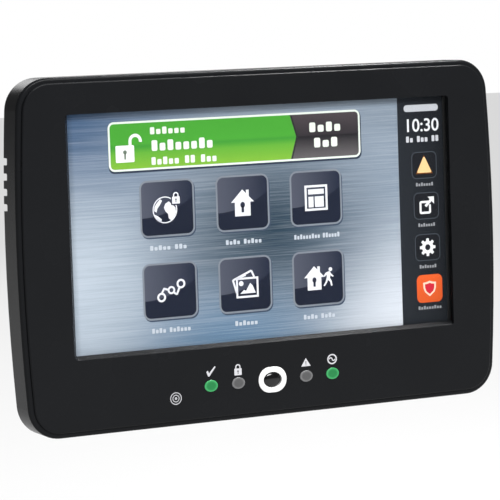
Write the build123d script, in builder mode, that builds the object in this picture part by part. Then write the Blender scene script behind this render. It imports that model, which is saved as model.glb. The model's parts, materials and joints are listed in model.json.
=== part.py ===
from build123d import *
import math
import os

os.makedirs("parts", exist_ok=True)

# Alarm keypad panel with a 7-inch touchscreen.
# Millimetres. +X is right as seen from the front, +Z is up, the wall is the plane Y = 0
# and the face looks along -Y. A height H is a distance in front of the wall.

# ---- driving dimensions ----
WIDTH = 196.8            # outline width at mid height
HEIGHT = 129.2           # outline height
SIDE_BULGE = 2.6         # how far each side bows out between its corners
CORNER_R = 12.0
FACE_H = 20.0            # front face above the wall
REAR_EDGE_H = 6.6        # rear edge of the side wall
RIM_H = 19.0             # top of the rounded rim round the raised face
WALL = 2.2
FACE_T = 1.8
LIP_H = FACE_H - FACE_T

SCREEN_Z = 7.2           # centre of the display opening
OPEN_W = 157.4
OPEN_H = 88.2
BEVEL = 1.4

ROW_Z = -50.9            # row of indicators and the home button
LENS_X = (-25.25, -14.13, 14.13, 25.25)
LENS_W = 5.3
LENS_HT = 4.3
RING_W = 11.6
RING_HT = 9.6
KEY_W = 7.1
KEY_HT = 5.3
KEY_GAP = 0.25

VENT_Z = (18.8, 24.27, 29.73, 35.2)
VENT_HT = 2.6
VENT_DEEP = 3.6

FLANGE_H = 10.3
FLANGE_T = 1.5
TUB_W = 182.0
TUB_HT = 104.0
TUB_R = 14.0
FLOOR_H = 3.0
FLOOR_T = 1.8

PLATE_W = 160.0
PLATE_HT = 96.0
PLATE_T = 2.0
HOOK_X = (-55.0, 55.0)
PIVOT_Z = 46.0           # line the unit swings about on its two top hooks
FINGER_X = (-40.0, 40.0)
WALL_SCREW_X = 120.0
WALL_SCREW_Z = 66.0
BOX_SCREW_Z = 83.3       # screw spacing of a single electrical box

PCB_H = 7.8
PCB_T = 1.6
PCB_W = 140.0
PCB_HT = 80.0
PCB_Z = 0.5
PCB_SCREW_X = 65.0
PCB_SCREW_Z = 34.0
BRACKET_H = 11.3         # sheet that carries the display and the main board
BRACKET_T = 0.8
TRAY_H = 12.1            # rear of the display module

BRACKET_X = 86.9
BRACKET_ZS = (34.0, -19.6)
CASE_X = 89.5
CASE_Z = 55.5

BOARD_H = 13.2           # indicator board behind the row of lights
BOARD_T = 1.0
TAMPER_X = 30.0
TAMPER_Z = -18.0


def at(h):
    return Plane.XZ.offset(h)


def outline(inset):
    half_w = WIDTH / 2 - inset
    half_h = HEIGHT / 2 - inset
    corner = half_w - SIDE_BULGE
    with BuildLine() as rim:
        Line((-corner, half_h), (corner, half_h))
        ThreePointArc((corner, half_h), (half_w, 0), (corner, -half_h))
        Line((corner, -half_h), (-corner, -half_h))
        ThreePointArc((-corner, -half_h), (-half_w, 0), (-corner, half_h))
    make_face(rim.edges())
    fillet(vertices(), radius=CORNER_R - inset)


def front_edges(h):
    return edges().filter_by_position(Axis.Y, -h - 0.001, -h + 0.001)


# ================= the front unit's shell =================
with BuildPart() as front_bezel:
    with BuildSketch(at(REAR_EDGE_H)):
        outline(0)
    extrude(amount=RIM_H - REAR_EDGE_H)
    fillet(front_edges(RIM_H), radius=1.1)
    fillet(front_edges(REAR_EDGE_H), radius=0.4)
    # raised face with its softened edge, and the fine line that sets it off from the rim
    with BuildSketch(at(RIM_H - 0.5)):
        outline(1.9)
    extrude(amount=FACE_H - RIM_H + 0.5)
    fillet(front_edges(FACE_H), radius=0.6)
    with BuildSketch(at(REAR_EDGE_H)):
        outline(WALL)
    extrude(amount=LIP_H - REAR_EDGE_H, mode=Mode.SUBTRACT)
    # display opening: sloping edges at the foot and the left, square walls at the top and the right
    with BuildPart(mode=Mode.PRIVATE) as opening:
        with BuildSketch(at(FACE_H)) as sloping:
            with Locations((BEVEL / 2, SCREEN_Z + BEVEL / 2)):
                RectangleRounded(OPEN_W + BEVEL, OPEN_H + BEVEL, 1.8)
        extrude(amount=-FACE_T, taper=math.degrees(math.atan(BEVEL / FACE_T)))
        with BuildSketch(at(LIP_H - 1)):
            with Locations((0, SCREEN_Z)):
                RectangleRounded(OPEN_W, OPEN_H, 1.2)
        extrude(amount=FACE_T + 2, mode=Mode.INTERSECT)
    add(opening.part, mode=Mode.SUBTRACT)
    # air notches in the left side's rear edge
    for z in VENT_Z:
        with BuildSketch(Plane.YZ.offset(-WIDTH / 2 - 1)):
            with Locations((-REAR_EDGE_H + 1 - (VENT_DEEP + 1) / 2, z)):
                RectangleRounded(VENT_DEEP + 1, VENT_HT, 0.6)
        extrude(amount=6, mode=Mode.SUBTRACT)
    # four light openings, the ring opening
    with BuildSketch(at(LIP_H - 1)):
        with Locations([(x, ROW_Z) for x in LENS_X]):
            Ellipse(LENS_W / 2 + 0.05, LENS_HT / 2 + 0.05)
        with Locations((0, ROW_Z)):
            RectangleRounded(RING_W + 0.1, RING_HT + 0.1, 4.75)
    extrude(amount=FACE_T + 2, mode=Mode.SUBTRACT)
    # bosses: case screws in the corners, display bracket at the sides, indicator board below
    with BuildSketch(at(FLANGE_H + FLANGE_T)):
        with Locations([(sx * CASE_X, sz * CASE_Z) for sx in (-1, 1) for sz in (-1, 1)]):
            Circle(2.8)
    extrude(amount=LIP_H - FLANGE_H - FLANGE_T + 0.2)
    with BuildSketch(at(12.9)):
        with Locations([(sx * BRACKET_X, z) for sx in (-1, 1) for z in BRACKET_ZS]):
            Circle(2.4)
    extrude(amount=LIP_H - 12.9 + 0.2)
    with BuildSketch(at(BOARD_H + BOARD_T)):
        with Locations([(sx * 32.0, -52.0) for sx in (-1, 1)]):
            Circle(2.4)
    extrude(amount=LIP_H - BOARD_H - BOARD_T + 0.2)
    with BuildSketch(at(REAR_EDGE_H)):
        with Locations([(sx * CASE_X, sz * CASE_Z) for sx in (-1, 1) for sz in (-1, 1)]):
            Circle(1.1)
        with Locations([(sx * BRACKET_X, z) for sx in (-1, 1) for z in BRACKET_ZS]):
            Circle(0.9)
        with Locations([(sx * 32.0, -52.0) for sx in (-1, 1)]):
            Circle(0.8)
    extrude(amount=17.2 - REAR_EDGE_H, mode=Mode.SUBTRACT)
    # ribs that frame the touch glass
    for sz in (-1, 1):
        with BuildSketch(at(15.2)):
            with Locations((0, SCREEN_Z + sz * 49.5)):
                Rectangle(150, 1.2)
        extrude(amount=LIP_H - 15.2 + 0.2)
front_bezel.part.label = "front_bezel"
export_step(front_bezel.part, "parts/front_bezel.step")

with BuildPart() as rear_cover:
    with BuildSketch(at(FLANGE_H)):
        outline(WALL + 0.3)
    extrude(amount=FLANGE_T)
    with BuildSketch(at(FLOOR_H)):
        RectangleRounded(TUB_W, TUB_HT, TUB_R)
    extrude(amount=FLANGE_H - FLOOR_H)
    fillet(front_edges(FLOOR_H), radius=1.2)
    with BuildSketch(at(FLOOR_H + FLOOR_T)):
        RectangleRounded(TUB_W - 3.6, TUB_HT - 3.6, TUB_R - 1.8)
    extrude(amount=12, mode=Mode.SUBTRACT)
    # slots for the wall plate's hooks and fingers
    with BuildSketch(at(FLOOR_H - 1)):
        with Locations([(x, PIVOT_Z - 2.6) for x in HOOK_X]):
            Rectangle(12.0, 5.2)
        with Locations([(x, -45.2) for x in FINGER_X]):
            Rectangle(9.6, 4.6)
    extrude(amount=FLOOR_T + 2, mode=Mode.SUBTRACT)
    # opening over the terminals, hole for the tamper plunger
    with BuildSketch(at(FLOOR_H - 1)):
        with Locations((-8, -22)):
            RectangleRounded(30, 15, 2)
        with Locations((TAMPER_X, TAMPER_Z)):
            Circle(4.9)
    extrude(amount=FLOOR_T + 2, mode=Mode.SUBTRACT)
    # screw holes, and the air slots behind the side notches
    with BuildSketch(at(FLANGE_H - 1)):
        with Locations([(sx * CASE_X, sz * CASE_Z) for sx in (-1, 1) for sz in (-1, 1)]):
            Circle(1.5)
        with Locations([(-93.2, z) for z in VENT_Z]):
            RectangleRounded(3.0, VENT_HT, 0.6)
        with GridLocations(3.2, 0, 9, 1):
            with Locations((-68, -58)):
                RectangleRounded(1.4, 6, 0.6)
    extrude(amount=FLANGE_T + 2, mode=Mode.SUBTRACT)
    # cooling slots through the floor, high up and low down
    with BuildSketch(at(FLOOR_H - 1)):
        with Locations((0, 30)):
            with GridLocations(7.0, 0, 9, 1):
                RectangleRounded(2.4, 16, 1.1)
    extrude(amount=FLOOR_T + 2, mode=Mode.SUBTRACT)
    # stiffening ribs across the floor
    for x in (-75.0, 75.0):
        with BuildSketch(at(FLOOR_H + FLOOR_T - 0.2)):
            with Locations((x, 0)):
                Rectangle(1.2, 70)
        extrude(amount=2.2)
rear_cover.part.label = "rear_cover"
export_step(rear_cover.part, "parts/rear_cover.step")

with BuildPart() as case_screws:
    with BuildSketch(at(FLANGE_H - 1.5)):
        with Locations([(sx * CASE_X, sz * CASE_Z) for sx in (-1, 1) for sz in (-1, 1)]):
            Circle(2.2)
    extrude(amount=1.5)
    with BuildSketch(at(FLANGE_H - 0.1)):
        with Locations([(sx * CASE_X, sz * CASE_Z) for sx in (-1, 1) for sz in (-1, 1)]):
            Circle(1.05)
    extrude(amount=6.1)
    with BuildSketch(at(FLANGE_H - 2)):
        with Locations([(sx * CASE_X, sz * CASE_Z) for sx in (-1, 1) for sz in (-1, 1)]):
            Rectangle(2.4, 0.6)
            Rectangle(0.6, 2.4)
    extrude(amount=1.2, mode=Mode.SUBTRACT)
case_screws.part.label = "case_screws"
export_step(case_screws.part, "parts/case_screws.step")

# ================= the wall plate =================
with BuildPart() as wall_plate:
    with BuildSketch(at(0)):
        RectangleRounded(PLATE_W, PLATE_HT, 5)
    extrude(amount=PLATE_T)
    # hooks: a stem through the cover's slot and a lip that rises in front of its floor
    for x in HOOK_X:
        with BuildSketch(Plane.YZ.offset(x - 5)):
            with BuildLine():
                Polyline(
                    (-PLATE_T + 0.2, PIVOT_Z - 3.8),
                    (-PLATE_T + 0.2, PIVOT_Z - 0.8),
                    (-5.7, PIVOT_Z - 0.8),
                    (-5.7, PIVOT_Z + 1.9),
                    (-7.0, PIVOT_Z + 1.6),
                    (-7.0, PIVOT_Z - 3.8),
                    (-PLATE_T + 0.2, PIVOT_Z - 3.8),
                )
            make_face()
        extrude(amount=10)
    # spring fingers at the foot
    for x in FINGER_X:
        with BuildSketch(Plane.YZ.offset(x - 4)):
            with BuildLine():
                Polyline(
                    (-PLATE_T + 0.2, -46.2),
                    (-PLATE_T + 0.2, -44.8),
                    (-6.6, -44.8),
                    (-5.2, -47.0),
                    (-5.2, -46.2),
                    (-PLATE_T + 0.2, -46.2),
                )
            make_face()
        extrude(amount=8)
    with BuildSketch(at(-1)):
        # cable opening, hole for the tamper plunger
        with Locations((-8, -8)):
            RectangleRounded(44, 50, 4)
        with Locations((TAMPER_X, TAMPER_Z)):
            Circle(6.2)
        # wall screws: four corners, and slots for an electrical box
        with GridLocations(WALL_SCREW_X, WALL_SCREW_Z, 2, 2):
            Circle(2.2)
        with GridLocations(0, BOX_SCREW_Z, 1, 2):
            SlotOverall(7.0, 4.2, rotation=90)
    extrude(amount=PLATE_T + 2, mode=Mode.SUBTRACT)
    # countersinks
    with BuildSketch(at(PLATE_T)):
        with GridLocations(WALL_SCREW_X, WALL_SCREW_Z, 2, 2):
            Circle(3.4)
    extrude(amount=-1.2, taper=44.9, mode=Mode.SUBTRACT)
    # lightening windows
    with BuildSketch(at(-1)):
        with Locations((-50, 0), (58, 6)):
            RectangleRounded(18, 34, 3)
    extrude(amount=PLATE_T + 2, mode=Mode.SUBTRACT)
wall_plate.part.label = "wall_plate"
export_step(wall_plate.part, "parts/wall_plate.step")

# ================= display stack =================
with BuildPart() as touch_gasket:
    with BuildSketch(at(17.9)):
        with Locations((0, SCREEN_Z)):
            Rectangle(165, 96)
            Rectangle(158.4, 89.2, mode=Mode.SUBTRACT)
    extrude(amount=0.3)
touch_gasket.part.label = "touch_gasket"
export_step(touch_gasket.part, "parts/touch_gasket.step")

with BuildPart() as touch_glass:
    with BuildSketch(at(16.8)):
        with Locations((0, SCREEN_Z)):
            RectangleRounded(166, 97, 1.5)
    extrude(amount=1.1)
    chamfer(front_edges(17.9), length=0.15)
touch_glass.part.label = "touch_glass"
export_step(touch_glass.part, "parts/touch_glass.step")

with BuildPart() as touch_tape:
    with BuildSketch(at(16.5)):
        with Locations((0, SCREEN_Z)):
            Rectangle(161, 93)
            Rectangle(156, 88, mode=Mode.SUBTRACT)
    extrude(amount=0.3)
touch_tape.part.label = "touch_tape"
export_step(touch_tape.part, "parts/touch_tape.step")

with BuildPart() as display_cell:
    with BuildSketch(at(15.1)):
        with Locations((0, SCREEN_Z)):
            Rectangle(161, 93)
    extrude(amount=1.4)
display_cell.part.label = "display_cell"
export_step(display_cell.part, "parts/display_cell.step")

with BuildPart() as backlight_guide:
    with BuildSketch(at(TRAY_H + 0.9)):
        with Locations((0, SCREEN_Z)):
            Rectangle(161, 93)
    extrude(amount=2.0)
backlight_guide.part.label = "backlight_guide"
export_step(backlight_guide.part, "parts/backlight_guide.step")

with BuildPart() as display_tray:
    with BuildSketch(at(TRAY_H)):
        with Locations((0, SCREEN_Z)):
            Rectangle(164.4, 96)
    extrude(amount=4.3)
    with BuildSketch(at(TRAY_H + 0.8)):
        with Locations((0, SCREEN_Z)):
            Rectangle(161.4, 93.4)
    extrude(amount=6, mode=Mode.SUBTRACT)
display_tray.part.label = "display_tray"
export_step(display_tray.part, "parts/display_tray.step")

with BuildPart() as display_bracket:
    with BuildSketch(at(BRACKET_H)):
        with Locations((0, SCREEN_Z)):
            RectangleRounded(166.8, 80, 4)
            with GridLocations(26, 20, 5, 3):
                RectangleRounded(19, 14, 3, mode=Mode.SUBTRACT)
    extrude(amount=BRACKET_T)
    # side arms step forward and end in screw tabs
    for sx in (-1, 1):
        with BuildSketch(at(TRAY_H)):
            with Locations([(sx * 86.2, z) for z in BRACKET_ZS]):
                Rectangle(5.4, 9)
        extrude(amount=BRACKET_T)
        with BuildSketch(at(BRACKET_H)):
            with Locations([(sx * 83.6, z) for z in BRACKET_ZS]):
                Rectangle(0.8, 9)
        extrude(amount=2 * BRACKET_T)
    with BuildSketch(at(8)):
        with Locations([(sx * BRACKET_X, z) for sx in (-1, 1) for z in BRACKET_ZS]):
            Circle(1.2)
    extrude(amount=6, mode=Mode.SUBTRACT)
    # stand-offs that carry the main board
    with BuildSketch(at(PCB_H + PCB_T)):
        with Locations((0, PCB_Z)):
            with GridLocations(2 * PCB_SCREW_X, 2 * PCB_SCREW_Z, 2, 2):
                Circle(2.6)
    extrude(amount=BRACKET_H - PCB_H - PCB_T + 0.4)
    with BuildSketch(at(PCB_H)):
        with Locations((0, PCB_Z)):
            with GridLocations(2 * PCB_SCREW_X, 2 * PCB_SCREW_Z, 2, 2):
                Circle(1.05)
    extrude(amount=4.1, mode=Mode.SUBTRACT)
display_bracket.part.label = "display_bracket"
export_step(display_bracket.part, "parts/display_bracket.step")

with BuildPart() as bracket_screws:
    with BuildSketch(at(10.9)):
        with Locations([(sx * BRACKET_X, z) for sx in (-1, 1) for z in BRACKET_ZS]):
            Circle(1.9)
    extrude(amount=1.2)
    with BuildSketch(at(12.0)):
        with Locations([(sx * BRACKET_X, z) for sx in (-1, 1) for z in BRACKET_ZS]):
            Circle(0.85)
    extrude(amount=4.6)
    with BuildSketch(at(10.5)):
        with Locations([(sx * BRACKET_X, z) for sx in (-1, 1) for z in BRACKET_ZS]):
            Rectangle(2.0, 0.5)
            Rectangle(0.5, 2.0)
    extrude(amount=1.0, mode=Mode.SUBTRACT)
bracket_screws.part.label = "bracket_screws"
export_step(bracket_screws.part, "parts/bracket_screws.step")

# ================= main board =================
with BuildPart() as main_board:
    with BuildSketch(at(PCB_H)):
        with Locations((0, PCB_Z)):
            RectangleRounded(PCB_W, PCB_HT, 2)
            with GridLocations(2 * PCB_SCREW_X, 2 * PCB_SCREW_Z, 2, 2):
                Circle(1.2, mode=Mode.SUBTRACT)
    extrude(amount=PCB_T)
main_board.part.label = "main_board"
export_step(main_board.part, "parts/main_board.step")

with BuildPart() as board_screws:
    with BuildSketch(at(PCB_H - 1.3)):
        with Locations((0, PCB_Z)):
            with GridLocations(2 * PCB_SCREW_X, 2 * PCB_SCREW_Z, 2, 2):
                Circle(2.0)
    extrude(amount=1.3)
    with BuildSketch(at(PCB_H - 0.1)):
        with Locations((0, PCB_Z)):
            with GridLocations(2 * PCB_SCREW_X, 2 * PCB_SCREW_Z, 2, 2):
                Circle(1.0)
    extrude(amount=3.1)
    with BuildSketch(at(PCB_H - 2)):
        with Locations((0, PCB_Z)):
            with GridLocations(2 * PCB_SCREW_X, 2 * PCB_SCREW_Z, 2, 2):
                Rectangle(2.2, 0.5)
                Rectangle(0.5, 2.2)
    extrude(amount=1.3, mode=Mode.SUBTRACT)
board_screws.part.label = "board_screws"
export_step(board_screws.part, "parts/board_screws.step")


def block(x, z, w, ht, tall, r=0.0):
    # a component standing on the main board's rear side
    with BuildSketch(at(PCB_H - tall)) as foot:
        with Locations((x, z)):
            if r > 0:
                RectangleRounded(w, ht, r)
            else:
                Rectangle(w, ht)
    extrude(foot.sketch, amount=tall)


with BuildPart() as processor:
    block(-38, 8, 17, 17, 1.3, 0.6)
processor.part.label = "processor"
export_step(processor.part, "parts/processor.step")

with BuildPart() as memory_chips:
    block(-58, 14, 11, 8, 1.1)
    block(-58, 2, 11, 8, 1.1)
memory_chips.part.label = "memory_chips"
export_step(memory_chips.part, "parts/memory_chips.step")

with BuildPart() as crystal:
    block(-38, -6, 5, 3.2, 1.0, 0.8)
crystal.part.label = "crystal"
export_step(crystal.part, "parts/crystal.step")

with BuildPart() as radio_shield:
    block(50, 20, 22, 17, 2.3, 0.8)
    with BuildSketch(at(PCB_H - 1.9)):
        with Locations((50, 20)):
            Rectangle(21.2, 16.2)
    extrude(amount=1.9, mode=Mode.SUBTRACT)
radio_shield.part.label = "radio_shield"
export_step(radio_shield.part, "parts/radio_shield.step")

with BuildPart() as radio_chip:
    block(50, 20, 8, 8, 1.0)
radio_chip.part.label = "radio_chip"
export_step(radio_chip.part, "parts/radio_chip.step")

with BuildPart() as power_coils:
    block(-40, -24, 7, 7, 2.6, 1.4)
    block(-50, -24, 7, 7, 2.6, 1.4)
power_coils.part.label = "power_coils"
export_step(power_coils.part, "parts/power_coils.step")

with BuildPart() as capacitors:
    for x in (-62.0, -56.0):
        for z in (-14.0, -6.5):
            block(x, z, 4.3, 6.0, 2.4, 0.5)
capacitors.part.label = "capacitors"
export_step(capacitors.part, "parts/capacitors.step")

with BuildPart() as ribbon_sockets:
    block(5, -34, 14, 4.2, 1.6)
    block(26, -34, 10, 4.2, 1.6)
    block(-29.5, -35.2, 11, 4, 1.6)
ribbon_sockets.part.label = "ribbon_sockets"
export_step(ribbon_sockets.part, "parts/ribbon_sockets.step")

with BuildPart() as terminal_block:
    block(-8, -22, 26, 10, 5.6, 0.4)
    with BuildSketch(at(PCB_H - 7)):
        with Locations((-8, -22)):
            with GridLocations(5.08, 0, 5, 1):
                Circle(1.95)
    extrude(amount=4.4, mode=Mode.SUBTRACT)
    # wire entries, on the upper side
    with BuildSketch(Plane.XY.offset(-16.0)):
        with Locations((-8, -PCB_H + 2.1)):
            with GridLocations(5.08, 0, 5, 1):
                Rectangle(3.0, 2.4)
    extrude(amount=-3.4, mode=Mode.SUBTRACT)
terminal_block.part.label = "terminal_block"
export_step(terminal_block.part, "parts/terminal_block.step")

with BuildPart() as terminal_screws:
    with BuildSketch(at(3.6)):
        with Locations((-8, -22)):
            with GridLocations(5.08, 0, 5, 1):
                Circle(1.85)
    extrude(amount=1.6)
    with BuildSketch(at(3.0)):
        with Locations((-8, -22)):
            with GridLocations(5.08, 0, 5, 1):
                Rectangle(2.9, 0.6)
    extrude(amount=1.2, mode=Mode.SUBTRACT)
terminal_screws.part.label = "terminal_screws"
export_step(terminal_screws.part, "parts/terminal_screws.step")

with BuildPart() as cell_holder:
    with BuildSketch(at(PCB_H - 2.9)):
        with Locations((50, -16)):
            RectangleRounded(18, 15, 2)
    extrude(amount=2.9)
    with BuildSketch(at(PCB_H - 4)):
        with Locations((50, -16)):
            Circle(6.5)
    extrude(amount=3.4, mode=Mode.SUBTRACT)
cell_holder.part.label = "cell_holder"
export_step(cell_holder.part, "parts/cell_holder.step")

with BuildPart() as backup_cell:
    with BuildSketch(at(PCB_H - 2.7)):
        with Locations((50, -16)):
            Circle(6.25)
    extrude(amount=2.0)
    fillet(front_edges(PCB_H - 2.7), radius=0.3)
backup_cell.part.label = "backup_cell"
export_step(backup_cell.part, "parts/backup_cell.step")

# ---- tamper switch: body, spring and the sprung plunger that reaches the wall ----
with BuildPart() as tamper_switch:
    block(TAMPER_X, TAMPER_Z, 4.2, 4.2, 1.4, 0.3)
    with BuildSketch(at(PCB_H - 2.0)):
        with Locations((TAMPER_X, TAMPER_Z)):
            Circle(1.0)
    extrude(amount=0.8)
tamper_switch.part.label = "tamper_switch"
export_step(tamper_switch.part, "parts/tamper_switch.step")

with BuildPart() as tamper_plunger:
    with BuildSketch(at(0.15)):
        with Locations((TAMPER_X, TAMPER_Z)):
            Circle(4.5)
    extrude(amount=4.8)
    fillet(front_edges(0.15), radius=0.6)
    with BuildSketch(at(5.1)):
        with Locations((TAMPER_X, TAMPER_Z)):
            Circle(5.7)
    extrude(amount=0.7)
    with BuildSketch(at(4.9)):
        with Locations((TAMPER_X, TAMPER_Z)):
            Circle(4.5)
    extrude(amount=0.9)
    with BuildSketch(at(1.6)):
        with Locations((TAMPER_X, TAMPER_Z)):
            Circle(3.7)
    extrude(amount=6, mode=Mode.SUBTRACT)
    with BuildSketch(at(1.5)):
        with Locations((TAMPER_X, TAMPER_Z)):
            Circle(1.3)
    extrude(amount=2.5)
tamper_plunger.part.label = "tamper_plunger"
export_step(tamper_plunger.part, "parts/tamper_plunger.step")

with BuildPart() as tamper_spring:
    with BuildLine():
        coil = Helix(
            pitch=1.05,
            height=4.2,
            radius=3.35,
            center=(TAMPER_X, -1.85, TAMPER_Z),
            direction=(0, -1, 0),
        )
    with BuildSketch(Plane(coil @ 0, z_dir=coil % 0)):
        Circle(0.18)
    sweep(is_frenet=True)
tamper_spring.part.label = "tamper_spring"
export_step(tamper_spring.part, "parts/tamper_spring.step")

# ================= row of lights and the home button =================
with BuildPart() as indicator_board:
    with BuildSketch(at(BOARD_H)):
        with Locations((-3, -52.2)):
            RectangleRounded(94, 14, 1)
        with Locations([(sx * 32.0, -52.0) for sx in (-1, 1)]):
            Circle(1.1, mode=Mode.SUBTRACT)
    extrude(amount=BOARD_T)
indicator_board.part.label = "indicator_board"
export_step(indicator_board.part, "parts/indicator_board.step")

with BuildPart() as indicator_board_screws:
    with BuildSketch(at(BOARD_H - 1.1)):
        with Locations([(sx * 32.0, -52.0) for sx in (-1, 1)]):
            Circle(1.8)
    extrude(amount=1.1)
    with BuildSketch(at(BOARD_H - 0.1)):
        with Locations([(sx * 32.0, -52.0) for sx in (-1, 1)]):
            Circle(0.75)
    extrude(amount=3.6)
    with BuildSketch(at(BOARD_H - 1.6)):
        with Locations([(sx * 32.0, -52.0) for sx in (-1, 1)]):
            Rectangle(1.9, 0.45)
            Rectangle(0.45, 1.9)
    extrude(amount=1.0, mode=Mode.SUBTRACT)
indicator_board_screws.part.label = "indicator_board_screws"
export_step(indicator_board_screws.part, "parts/indicator_board_screws.step")

with BuildPart() as indicator_leds:
    with BuildSketch(at(BOARD_H + BOARD_T)):
        with Locations([(x, ROW_Z) for x in LENS_X]):
            Rectangle(2.0, 1.3)
    extrude(amount=0.7)
indicator_leds.part.label = "indicator_leds"
export_step(indicator_leds.part, "parts/indicator_leds.step")


def light_pipe(x):
    # an oval lens that stands just proud of the face, with a collar and a stem behind it
    with BuildSketch(at(LIP_H - 0.8)) as lens:
        with Locations((x, ROW_Z)):
            Ellipse(LENS_W / 2, LENS_HT / 2)
    extrude(lens.sketch, amount=FACE_T + 1.05)
    fillet(front_edges(FACE_H + 0.25), radius=0.22)
    with BuildSketch(at(LIP_H - 0.8)) as collar:
        with Locations((x, ROW_Z)):
            Ellipse(LENS_W / 2 + 0.8, LENS_HT / 2 + 0.8)
    extrude(collar.sketch, amount=0.8)
    with BuildSketch(at(15.2)) as stem:
        with Locations((x, ROW_Z)):
            Circle(1.7)
    extrude(stem.sketch, amount=LIP_H - 15.6)


with BuildPart() as ready_lens:
    light_pipe(LENS_X[0])
ready_lens.part.label = "ready_lens"
export_step(ready_lens.part, "parts/ready_lens.step")

with BuildPart() as armed_lens:
    light_pipe(LENS_X[1])
armed_lens.part.label = "armed_lens"
export_step(armed_lens.part, "parts/armed_lens.step")

with BuildPart() as trouble_lens:
    light_pipe(LENS_X[2])
trouble_lens.part.label = "trouble_lens"
export_step(trouble_lens.part, "parts/trouble_lens.step")

with BuildPart() as power_lens:
    light_pipe(LENS_X[3])
power_lens.part.label = "power_lens"
export_step(power_lens.part, "parts/power_lens.step")

with BuildPart() as home_ring:
    with BuildSketch(at(LIP_H - 0.7)):
        with Locations((0, ROW_Z)):
            RectangleRounded(RING_W + 1.6, RING_HT + 1.6, 5.4)
    extrude(amount=0.7)
    with BuildSketch(at(LIP_H - 0.2)):
        with Locations((0, ROW_Z)):
            RectangleRounded(RING_W, RING_HT, 4.7)
    extrude(amount=FACE_T + 0.4)
    fillet(front_edges(FACE_H + 0.2), radius=0.18)
    with BuildSketch(at(LIP_H - 2)):
        with Locations((0, ROW_Z)):
            Ellipse(KEY_W / 2 + KEY_GAP, KEY_HT / 2 + KEY_GAP)
    extrude(amount=6, mode=Mode.SUBTRACT)
home_ring.part.label = "home_ring"
export_step(home_ring.part, "parts/home_ring.step")

with BuildPart() as home_button:
    with BuildSketch(at(16.6)):
        with Locations((0, ROW_Z)):
            Ellipse(KEY_W / 2, KEY_HT / 2)
    extrude(amount=FACE_H + 0.3 - 16.6)
    fillet(front_edges(FACE_H + 0.3), radius=0.5)
    with BuildSketch(at(16.4)):
        with Locations((0, ROW_Z)):
            Ellipse(KEY_W / 2 + 1.1, KEY_HT / 2 + 1.1)
    extrude(amount=0.75)
home_button.part.label = "home_button"
export_step(home_button.part, "parts/home_button.step")

with BuildPart() as home_switch:
    with BuildSketch(at(BOARD_H + BOARD_T)):
        with Locations((0, ROW_Z)):
            RectangleRounded(4.5, 4.5, 0.4)
    extrude(amount=1.0)
    with BuildSketch(at(BOARD_H + BOARD_T + 0.9)):
        with Locations((0, ROW_Z)):
            Circle(1.2)
    extrude(amount=0.55)
home_switch.part.label = "home_switch"
export_step(home_switch.part, "parts/home_switch.step")

with BuildPart() as home_spring:
    # silicone return ring under the button's collar
    with BuildSketch(at(14.85)):
        with Locations((0, ROW_Z)):
            Ellipse(4.5, 3.7)
            Ellipse(3.9, 3.35, mode=Mode.SUBTRACT)
    extrude(amount=1.55)
home_spring.part.label = "home_spring"
export_step(home_spring.part, "parts/home_spring.step")

with BuildPart() as microphone:
    with BuildSketch(at(BOARD_H + BOARD_T)):
        with Locations((-39.6, -54.1)):
            Circle(2.0)
    extrude(amount=1.6)
    with BuildSketch(at(BOARD_H + BOARD_T + 1.2)):
        with Locations((-39.6, -54.1)):
            Circle(0.5)
    extrude(amount=1, mode=Mode.SUBTRACT)
microphone.part.label = "microphone"
export_step(microphone.part, "parts/microphone.step")

# ================= sounder =================
with BuildPart() as speaker_frame:
    with BuildSketch(at(12.1)):
        with Locations((-68, -52.4)):
            RectangleRounded(30, 15, 7)
    extrude(amount=5.0)
    with BuildSketch(at(11.0)):
        with Locations((-68, -52.4)):
            RectangleRounded(27.6, 12.6, 6)
    extrude(amount=3.4, mode=Mode.SUBTRACT)
speaker_frame.part.label = "speaker_frame"
export_step(speaker_frame.part, "parts/speaker_frame.step")

with BuildPart() as speaker_cone:
    with BuildSketch(at(12.6)):
        with Locations((-68, -52.4)):
            RectangleRounded(27.2, 12.2, 5.8)
    extrude(amount=0.5)
    with BuildSketch(at(12.4)):
        with Locations((-68, -52.4)):
            RectangleRounded(12, 6.4, 3)
    extrude(amount=0.5)
speaker_cone.part.label = "speaker_cone"
export_step(speaker_cone.part, "parts/speaker_cone.step")

# ================= flat ribbons =================
with BuildPart() as display_ribbon:
    # leaves the display's foot, passes the board's lower edge and turns up to its socket
    with BuildSketch(Plane.YZ.offset(-1)):
        with Locations((-11.95, -40.8)):
            Rectangle(0.3, 4.6)
        with Locations((-9.15, -42.95)):
            Rectangle(5.9, 0.3)
        with Locations((-6.35, -39.65)):
            Rectangle(0.3, 6.9)
    extrude(amount=12)
display_ribbon.part.label = "display_ribbon"
export_step(display_ribbon.part, "parts/display_ribbon.step")

with BuildPart() as indicator_ribbon:
    # joins the indicator board to the main board's lower edge
    with BuildSketch(Plane.YZ.offset(-34)):
        with Locations((-13.05, -46.6)):
            Rectangle(0.3, 3.4)
        with Locations((-10.25, -44.75)):
            Rectangle(5.9, 0.3)
        with Locations((-7.45, -41.1)):
            Rectangle(0.3, 7.6)
    extrude(amount=9)
indicator_ribbon.part.label = "indicator_ribbon"
export_step(indicator_ribbon.part, "parts/indicator_ribbon.step")

with BuildPart() as touch_ribbon:
    # from the touch glass's foot, past the display's lower edge and up to its socket
    with BuildSketch(Plane.YZ.offset(22)):
        with Locations((-16.65, -40.4)):
            Rectangle(0.3, 2.0)
        with Locations((-11.5, -41.25)):
            Rectangle(10.6, 0.3)
        with Locations((-6.35, -38.8)):
            Rectangle(0.3, 5.2)
    extrude(amount=8)
touch_ribbon.part.label = "touch_ribbon"
export_step(touch_ribbon.part, "parts/touch_ribbon.step")
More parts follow.
